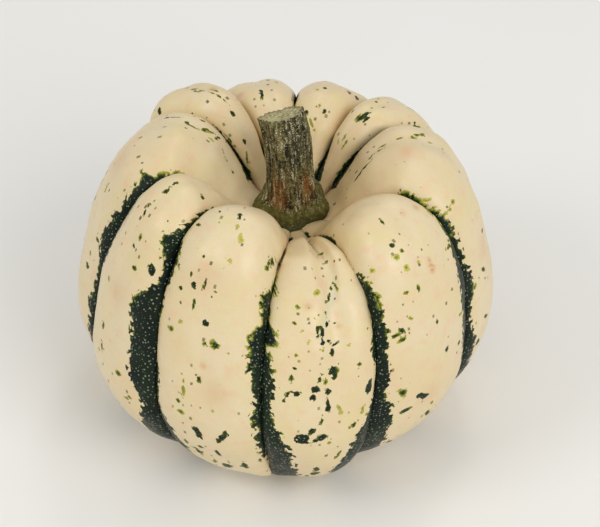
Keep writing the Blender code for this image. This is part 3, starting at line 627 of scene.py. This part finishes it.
# Small flecks: in some cells, picked by a random shade, a square spot of random size.
largest = add(tree, "Math", {0: field["fleck cell size"], 1: 0.10, 2: 0.06},
              operation="MULTIPLY_ADD").outputs[0]
spot = field["fleck"]
for operation, other in (("SUBTRACT", field["fleck cell"]), ("MULTIPLY", 1.2), ("MINIMUM", largest),
                         ("SUBTRACT", field["fleck cell distance"])):
    spot = add(tree, "Math", {0: spot, 1: other}, operation=operation).outputs[0]
spot = add(tree, "MapRange", {"Value": spot, "From Min": -0.03, "From Max": 0.03,
                              "To Max": 0.85}).outputs[0]
spot_colour = add(tree, "Mix", {0: field["fleck cell shade"], 6: linear("#33391F"),
                                7: linear("#98894A")}, data_type="RGBA").outputs[2]
colour = add(tree, "Mix", {0: spot, 6: colour, 7: spot_colour}, data_type="RGBA").outputs[2]

# The edge of a mark: its depth in mm, shifted cell by cell and by a cloud as far as it is ragged,
# so that the edges of the bands step by about 1 mm.
edge = -2.45
for name, reach in (("step", 2.0), ("small step", 0.45), ("edge cloud", 2.6)):
    edge = add(tree, "Math", {0: field[name], 1: reach, 2: edge}, operation="MULTIPLY_ADD").outputs[0]
edge = add(tree, "Math", {0: field["rag"], 1: edge, 2: field["mark"]},
           operation="MULTIPLY_ADD").outputs[0]
marked = add(tree, "MapRange", {"Value": edge, "From Min": 0.0, "From Max": 0.11},
             interpolation_type="SMOOTHSTEP").outputs[0]

# Its colour: lime at the rim where the mark is lime, olive and then green-black deeper in, with
# paler green mottling and small pale dots.
deep = edge
for name, reach in (("lime", -1.25), ("lime cloud", -1.6)):
    deep = add(tree, "Math", {0: field[name], 1: reach, 2: deep}, operation="MULTIPLY_ADD").outputs[0]
deep = add(tree, "MapRange", {"Value": deep, "From Min": -1.85, "From Max": 0.55}).outputs[0]
greens = add(tree, "ValToRGB", {"Fac": deep})
stops = greens.color_ramp.elements
stops[0].position, stops[0].color = 0.0, linear("#C9BE62")
stops[1].position, stops[1].color = 1.0, linear("#131D16")
for position, tint in ((0.22, "#A9A63C"), (0.42, "#586424"), (0.58, "#26331B"), (0.78, "#17221A")):
    stops.new(position).color = linear(tint)
green = greens.outputs["Color"]
dot = add(tree, "Math", {0: field["dot size"], 1: -0.24, 2: field["dot distance"]},
          operation="MULTIPLY_ADD").outputs[0]
dot = add(tree, "MapRange", {"Value": dot, "From Min": 0.05, "From Max": -0.06,
                             "To Max": 0.55}).outputs[0]
inner = add(tree, "MapRange", {"Value": edge, "From Min": 0.8, "From Max": 1.3}).outputs[0]
dot = add(tree, "Math", {0: dot, 1: inner}, operation="MULTIPLY").outputs[0]
mottle = add(tree, "MapRange", {"Value": field["cloud"], "From Min": 0.4, "From Max": 0.75,
                                "To Max": 0.4}).outputs[0]
for amount, tint in ((mottle, "#2A3A24"), (dot, "#A9B394")):
    green = add(tree, "Mix", {0: amount, 6: green, 7: linear(tint)}, data_type="RGBA").outputs[2]
colour = add(tree, "Mix", {0: marked, 6: colour, 7: green}, data_type="RGBA").outputs[2]

# The corky scar at the blossom end.
cork = add(tree, "Mix", {0: field["lime cloud"], 6: linear("#8F7850"), 7: linear("#C7B68C")},
           data_type="RGBA").outputs[2]
colour = add(tree, "Mix", {0: field["scar"], 6: colour, 7: cork}, data_type="RGBA").outputs[2]
tree.links.new(colour, shader.inputs["Base Color"])

# Satin gloss, weaker on the marks and dull on the scar, over pores, ripples and grain of a few
# hundredths of a mm. The marks stand very slightly proud.
rough = add(tree, "MapRange", {"Value": field["ripple"], "From Min": 0.3, "From Max": 0.7,
                               "To Min": 0.30, "To Max": 0.42}).outputs[0]
rough = add(tree, "Math", {0: field["scar"], 1: 0.35, 2: rough}, operation="MULTIPLY_ADD").outputs[0]
tree.links.new(rough, shader.inputs["Roughness"])
shader.inputs["IOR"].default_value = 1.46
dull = add(tree, "MapRange", {"Value": marked, "To Min": 0.50, "To Max": 0.12}).outputs[0]
tree.links.new(dull, shader.inputs["Specular IOR Level"])
relief = add(tree, "MapRange", {"Value": field["pore distance"], "From Max": 0.35,
                                "To Min": -0.03, "To Max": 0.0}).outputs[0]
for bumps, reach in ((field["ripple"], 0.08), (field["grain"], 0.02), (marked, 0.02)):
    relief = add(tree, "Math", {0: bumps, 1: reach, 2: relief}, operation="MULTIPLY_ADD").outputs[0]
bump = add(tree, "Bump", {"Height": relief, "Strength": 0.8, "Distance": MM})
tree.links.new(bump.outputs["Normal"], shader.inputs["Normal"])
rind_mesh.materials.append(material)

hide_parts("fruit")
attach(fruit, "root")

# Stem
# The real stem is the dried fruit stalk: hard, woody, five-angled, flared into lobes where it
# grips the fruit, bent to one side, and cut off on a slant. Its bark is furrowed lengthwise and
# crusted with pale cork.

# In mm: height and radius from the root up, the place of the foot and how far it is set back, the
# height and spread of its flare, and the lean of the top. Then the slopes of the cut, and how far
# the five corners turn on the way up.
STEM_LINE = np.array((
    (66.0, 9.8), (70.0, 10.5), (72.4, 10.4), (73.8, 9.5), (75.2, 8.1), (77.0, 7.2), (81.0, 6.75),
    (92.0, 6.7), (100.0, 6.5), (104.6, 6.2)))
FOOT_X, FOOT_Y, FOOT_BACK = 0.5, 1.1, 1.9
FOOT_AT, FOOT_SPREAD = 72.0, 4.0
LEAN_X, LEAN_Y = -2.9, 0.5
FRONT_SLOPE, SIDE_SLOPE = math.tan(math.radians(25.0)), math.tan(math.radians(15.0))
CORNERS, TWIST = 5, math.radians(25.0)
# The bark: the waves of its broad, narrow and fine ridges round the stem, their height in mm, and
# the ridge that leaves the radius as it is.
BROAD, NARROW, FINE, RIDGE_HEIGHT, RIDGE_MEAN = 6.5, 11, 31, 0.42, 0.72
# The cut, in mm: how deep it is dished, how deep and (as a share of its radius) how wide the pith
# is sunk, and how high the rings stand.
DISH, PITH, PITH_WIDTH, RING_HEIGHT = 0.55, 0.7, 0.16, 0.10
STEM_SIDES = 260
BARK_ROWS, CUT_ROWS, ROOT_ROWS = 170, 26, 4
CUT_FROM = ROOT_ROWS + BARK_ROWS
LAST_ROW = CUT_FROM + CUT_ROWS


def bark(turn, rise):
    """The outside of the stem, in mm, from its turn round and its rise, and how grooved it is.

    The radius follows the stem's line, times five blunt angles that turn a little on the way up
    and spread into lobes at the foot, which is flatter in front. On it lie some twenty unequal
    lengthwise ridges: sines round the stem whose phase wanders with height, each sharpened by a
    power. The stem bends aside with the fourth power of its rise, and its upper half slopes up to
    the front and right.
    """
    levels, radii = STEM_LINE.T
    level = levels[0] + rise * (levels[-1] - levels[0])
    around = 2 * np.pi * turn
    foot = bell(level, FOOT_AT, FOOT_SPREAD)
    wander = 0.35 * np.sin(level / 5.1 + 0.6) + 0.22 * np.sin(level / 2.3 + 2.0 + around)
    wave = np.cos(CORNERS * (around + TWIST * rise))
    radius = follow(levels, radii, level) * (1 + (0.06 + 0.02 * foot) * wave)
    radius = radius * (1 - 0.22 * foot * np.maximum(np.cos(around), 0) ** 2)
    ridges = np.abs(np.sin(BROAD * around + 0.8 * wander + 0.7)) ** 0.6 * 0.55
    ridges = ridges + np.abs(np.sin(NARROW * around - wander + 1.9 * np.sin(around))) ** 0.7 * 0.45
    ridges = ridges + 0.22 * np.sin(FINE * around + 2.5 * wander) * np.sin(level / 3.7 + 3 * around)
    strength = RIDGE_HEIGHT - 0.24 * foot + 0.15 * ramp(rise, 0.8, 1.0)
    radius = radius + strength * (ridges - RIDGE_MEAN)
    east, north = radius * np.sin(around), -radius * np.cos(around)
    up = level + (SIDE_SLOPE * east - FRONT_SLOPE * north) * ramp(rise, 0.5, 1.0)
    back = FOOT_Y + FOOT_BACK * (1 - rise) ** 3 + LEAN_Y * rise ** 4
    point = np.stack([FOOT_X + LEAN_X * rise ** 4 + east, back + north, up], axis=-1)
    return point, np.clip(1.25 - ridges, 0, 1) * (1 - 0.8 * foot)


def stem_surface(turn, row):
    """The whole closed skin of the stem: root, bark, rim and slanted cut, by row.

    Root and cut are the end rings drawn in towards their middle. Cork crusts the bark in small
    random swells, and the rim is crumbled by larger ones. The cut's face is dished by half a
    millimetre, with the pith sunk in its middle and shallow rings round it.
    """
    rise = ramp(row, ROOT_ROWS, CUT_FROM)
    point, groove = bark(turn, rise)
    axis = np.array([FOOT_X, FOOT_Y]) + np.array([LEAN_X, LEAN_Y]) * rise[..., None] ** 4
    axis[..., 1] += FOOT_BACK * (1 - rise) ** 3
    away = point[..., :2] - axis
    away /= np.linalg.norm(away, axis=-1, keepdims=True)
    crust = 0.04 * swells(point, 0.9, 11, 16) + 0.06 * swells(point, 1.7, 12, 16)
    point[..., :2] += away * (crust * ramp(rise, 0.0, 0.25))[..., None]
    rim = ramp(rise, 0.93, 1.0) ** 2
    point[..., 2] += (0.35 * swells(point, 4.5, 14) + 0.22 * swells(point, 1.6, 15)) * rim
    inward = ramp(row, CUT_FROM, LAST_ROW)
    root = ramp(row, 0, ROOT_ROWS)
    middle = np.array([FOOT_X + LEAN_X, FOOT_Y + LEAN_Y, STEM_LINE[-1, 0]])
    root_middle = np.array([FOOT_X, FOOT_Y + FOOT_BACK, STEM_LINE[0, 0]])
    reach = 1 - inward
    cut = middle + (point - middle) * reach[..., None]
    dish = -DISH * (1 - reach ** 6) * (inward > 0) - PITH * bell(reach, 0.0, PITH_WIDTH)
    dish = dish + RING_HEIGHT * np.sin(reach * 26.0 + 1.2 * np.sin(4 * np.pi * turn)) * (inward > 0.12)
    cut[..., 2] += dish
    bottom = root_middle + (point - root_middle) * root[..., None]
    surface = np.where((row > CUT_FROM)[..., None], cut, point)
    surface = np.where((row < ROOT_ROWS)[..., None], bottom, surface)
    return surface, groove, inward


row, turn = np.meshgrid(
    np.arange(LAST_ROW + 1.0), np.arange(STEM_SIDES) / STEM_SIDES, indexing="ij")
stem_points, groove, inward = stem_surface(turn, row)
stem_mesh = skin_mesh("squash_stem", stem_points[::-1])
height = stem_points[..., 2]
around = 2 * np.pi * turn
# Rust-brown low on the left and right of the front, greener bark below, greyer above right, and
# dark at the very bottom, where it meets the fruit, as painted shade. The rim is paler on the left
# of the front.
foot = ramp(height, 76.0, 73.5)
base_shade = ramp(height, 72.5, 70.0)
streak = bell(around, 0.30, 0.30) * ramp(height, 80, 86)
rust = bell(around, 5.68, 0.34) * bell(height, 80, 6) + 0.8 * bell(around, 0.74, 0.24) * bell(height, 82, 5)
rust = rust * (inward == 0)
grey = bell(around, 0.45, 0.9) * ramp(height, 86, 94)
rim = np.clip((inward * CUT_ROWS + ramp(height, 102.5, 105.5)) / 2, 0, 1) * bell(around, 5.5, 1.0)
stem_values = dict(
    groove=groove, cut=ramp(inward, 0.0, 0.125), foot=foot, base_shade=base_shade, streak=streak,
    ring=1 - inward, rust=rust, grey=grey, rim=rim)
for name, values in stem_values.items():
    add_values(stem_mesh, name, values[::-1])
stem = new_object("squash_stem", stem_mesh)

# Dried woody stalk: olive-grey bark crusted with pale cork, near black in its grooves, rust-brown
# where it was rubbed, greener at the foot and dark at its very bottom with painted shade, with a
# pale fibrous cut.
material, tree, shader = new_material("dried woody stalk")
place = add(tree, "TexCoord", {}).outputs["Object"]
stretched = add(tree, "Mapping", {"Vector": place, "Scale": (1.0, 1.0, 0.16)}).outputs[0]
field = {}
for name, size, detail, vector in (
        ("patch", 4.0, 3.0, place), ("fibre", 1.2, 3.0, stretched), ("row", 0.8, 2.0, stretched),
        ("crust", 0.30, 1.0, place), ("mottle", 1.1, 2.0, place), ("cut fibre", 1.0, 4.0, place),
        ("wander", 3.0, 2.0, place)):
    cloud = add(tree, "TexNoise", {"Vector": vector, "Scale": 1.0 / (size * MM), "Detail": detail})
    field[name] = cloud.outputs["Fac"]
for name in stem_values:
    field[name] = add(tree, "Attribute", {}, attribute_name=name).outputs["Fac"]
# Pale specks of cork lie in rows along the fibres, thicker on a streak, and thin out at the foot.
specks = add(tree, "Math", {0: field["row"], 1: field["crust"]}, operation="ADD").outputs[0]
for name, amount in (("streak", 0.05), ("foot", -0.14)):
    specks = add(tree, "Math", {0: field[name], 1: amount, 2: specks},
                 operation="MULTIPLY_ADD").outputs[0]
field["specks"] = specks
# Growth rings on the cut, which wander a little.
rings = add(tree, "Math", {0: field["ring"], 1: 24.0}, operation="MULTIPLY").outputs[0]
rings = add(tree, "Math", {0: field["wander"], 1: 5.0, 2: rings}, operation="MULTIPLY_ADD").outputs[0]
field["rings"] = add(tree, "Math", {0: rings}, operation="SINE").outputs[0]

# Bark in layers, with the plain face of the cut as the last, and then layers on the cut alone.
colour = lay_on(tree, field, linear("#5A4F28"), (
    ("patch", 0.42, 0.64, 0.7, "#41391B"), ("fibre", 0.48, 0.62, 0.7, "#7F7448"),
    ("grey", 0.2, 0.9, 0.75, "#3B3B2D"), ("fibre", 0.49, 0.38, 0.9, "#1D190C"),
    ("rust", 0.05, 0.6, 0.8, "#8C5826"), ("foot", 0.1, 0.8, 0.8, "#625F2C"),
    ("groove", 0.45, 0.95, 0.6, "#1B170B"), ("mottle", 0.52, 0.66, 0.45, "#2C2A15"),
    ("mottle", 0.46, 0.36, 0.45, "#8E8A5C"), ("base_shade", 0.0, 1.0, 0.6, "#2B3020"),
    ("specks", 1.11, 1.20, 0.9, "#C3BC98"), ("rim", 0.3, 1.0, 0.8, "#C0BB86"),
    ("cut", 0.0, 1.0, 1.0, "#AFA479")))
colour = lay_on(tree, field, colour, (
    ("rings", -0.4, 0.8, 0.75, "#D2C8A2"), ("cut fibre", 0.48, 0.62, 0.75, "#7C744C"),
    ("rim", 0.3, 1.0, 0.6, "#C9C592")), inside=field["cut"])
tree.links.new(colour, shader.inputs["Base Color"])
rough = add(tree, "MapRange", {"Value": field["fibre"], "From Min": 0.3, "From Max": 0.7,
                               "To Min": 0.70, "To Max": 0.90}).outputs[0]
tree.links.new(rough, shader.inputs["Roughness"])
shader.inputs["IOR"].default_value = 1.5
shader.inputs["Specular IOR Level"].default_value = 0.2
relief = add(tree, "Math", {0: field["fibre"], 1: 0.25}, operation="MULTIPLY").outputs[0]
for name, amount in (("crust", 0.30), ("mottle", 0.25)):
    relief = add(tree, "Math", {0: field[name], 1: amount, 2: relief}, operation="MULTIPLY_ADD").outputs[0]
bump = add(tree, "Bump", {"Height": relief, "Strength": 0.9, "Distance": MM})
tree.links.new(bump.outputs["Normal"], shader.inputs["Normal"])
stem_mesh.materials.append(material)

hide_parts("stem")
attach(stem, "root")

# Floor
# A plain studio table covered with one flat sheet of matt white card, pressed from bleached
# paper pulp. It isn't part of the object. It is so wide that its edges stay out of the picture.
FLOOR_HALF = 1.5
floor_mesh = bpy.data.meshes.new("floor")
corners = [(x * FLOOR_HALF, y * FLOOR_HALF, 0) for x, y in ((-1, -1), (1, -1), (1, 1), (-1, 1))]
floor_mesh.from_pydata(corners, [], [(0, 1, 2, 3)])
floor = new_object("floor", floor_mesh)
material, tree, shader = new_material("matt white card")
place = add(tree, "TexCoord", {}).outputs["Object"]
cloud = add(tree, "TexNoise", {"Vector": place, "Scale": 1.0 / (60.0 * MM), "Detail": 2.0})
card = add(tree, "Mix", {0: cloud.outputs["Fac"], 6: linear("#F4F3F0"), 7: linear("#F1F0EC")},
           data_type="RGBA")
tree.links.new(card.outputs[2], shader.inputs["Base Color"])
shader.inputs["Roughness"].default_value = 0.85
floor_mesh.materials.append(material)

# Light
# Three lamps behind squares of white cloth stand round the table: a wide one high on the viewer's
# right, a smaller one on the left, and a small weak one above and behind. With the pale painted
# walls all round they leave only soft shadows.
AIM = (0.0, 0.0, 0.05)


def softbox(name, at, size, watts):
    """A square area light that faces the middle of the squash; place and size in metres."""
    lamp = bpy.data.lights.new(name, "AREA")
    lamp.shape = "SQUARE"
    lamp.size = size
    lamp.energy = watts
    holder = new_object(name, lamp)
    back = np.array(at) - AIM
    back /= np.linalg.norm(back)
    right = np.cross((0, 0, 1), back)
    right /= np.linalg.norm(right)
    up = np.cross(back, right)
    holder.matrix_world = Matrix([(right[i], up[i], back[i], at[i]) for i in range(3)] + [(0, 0, 0, 1)])


softbox("right softbox", (0.72, -0.92, 1.02), 0.9, 8.4)
softbox("top softbox", (0.25, 0.60, 1.25), 0.25, 1.2)
softbox("left softbox", (-0.85, -0.45, 0.95), 0.5, 3.0)
world = bpy.data.worlds.new("pale walls")
world.use_nodes = True
world.node_tree.nodes["Background"].inputs["Color"].default_value = linear("#F7F6F4")
world.node_tree.nodes["Background"].inputs["Strength"].default_value = 0.63
bpy.context.scene.world = world
bpy.context.scene.view_settings.view_transform = "Standard"

# Camera
# It looks down on the squash at 42 degrees from 0.9 m, framed as in the photo, with a long lens
# so that near and far ribs keep their sizes.
TILT = math.radians(42.0)
DISTANCE = 0.9
TARGET_X, TARGET_Z = 0.0029, 0.0499
camera = new_object("camera", bpy.data.cameras.new("camera"))
camera.data.sensor_width = 36.0
camera.data.lens = 185.4
camera.data.clip_end = 10.0
camera.location = (TARGET_X, -DISTANCE * math.cos(TILT), TARGET_Z + DISTANCE * math.sin(TILT))
camera.rotation_euler = (math.pi / 2 - TILT, 0.0, 0.0)
bpy.context.scene.camera = camera
